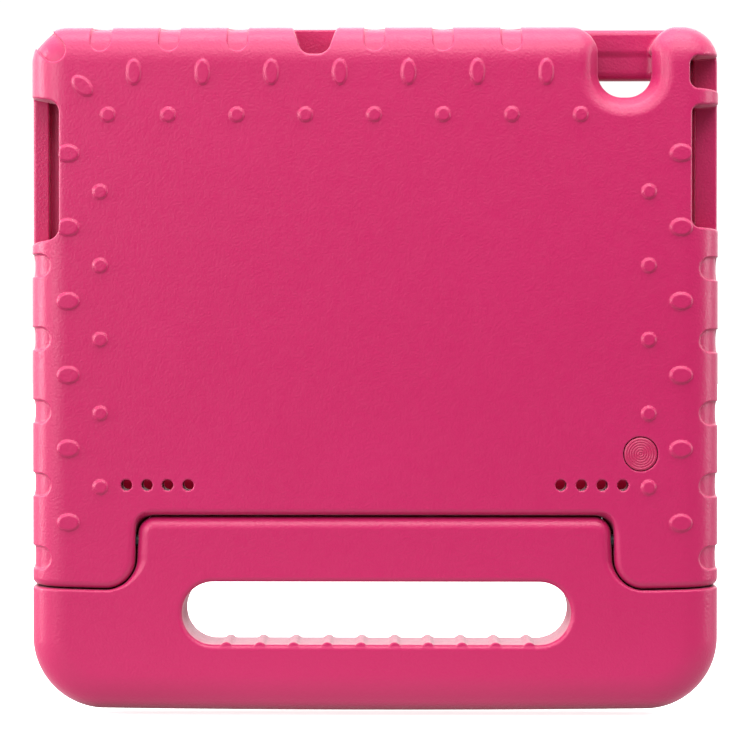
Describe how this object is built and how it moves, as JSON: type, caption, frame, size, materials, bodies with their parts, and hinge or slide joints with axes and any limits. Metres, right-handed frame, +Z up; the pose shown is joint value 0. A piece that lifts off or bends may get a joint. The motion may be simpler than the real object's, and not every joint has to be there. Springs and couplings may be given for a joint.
{
  "type": "tablet case",
  "caption": "Soft foam tablet case with a screen window, camera window, edge openings, and a fold-back carrying handle that makes a stand.",
  "frame": {"origin": "under the middle of the handle's bottom edge, at half the thickness between the back and front faces", "axes": "+X to the right as seen from behind, +Y out of the screen side, +Z up from the handle to the top edge"},
  "size_m": [0.268, 0.0291, 0.267],
  "materials": {
    "foam": "satin",
    "firm_foam": "satin",
    "pin_plastic": "satin",
    "bush_plastic": "satin"
  },
  "bodies": {
    "case": {"case_body": "foam", "gate_plug": "firm_foam", "pivot_bush_left": "bush_plastic", "pivot_bush_right": "bush_plastic"},
    "handle": {"handle": "foam", "pivot_pin_left": "pin_plastic", "pivot_pin_right": "pin_plastic"}
  },
  "joints": [
    {"name": "handle_fold", "type": "hinge", "parent": "case", "child": "handle", "pos_m": [0, -0.007, 0.067], "axis": [-1, 0, 0], "range_deg": [0, 115]}
  ]
}
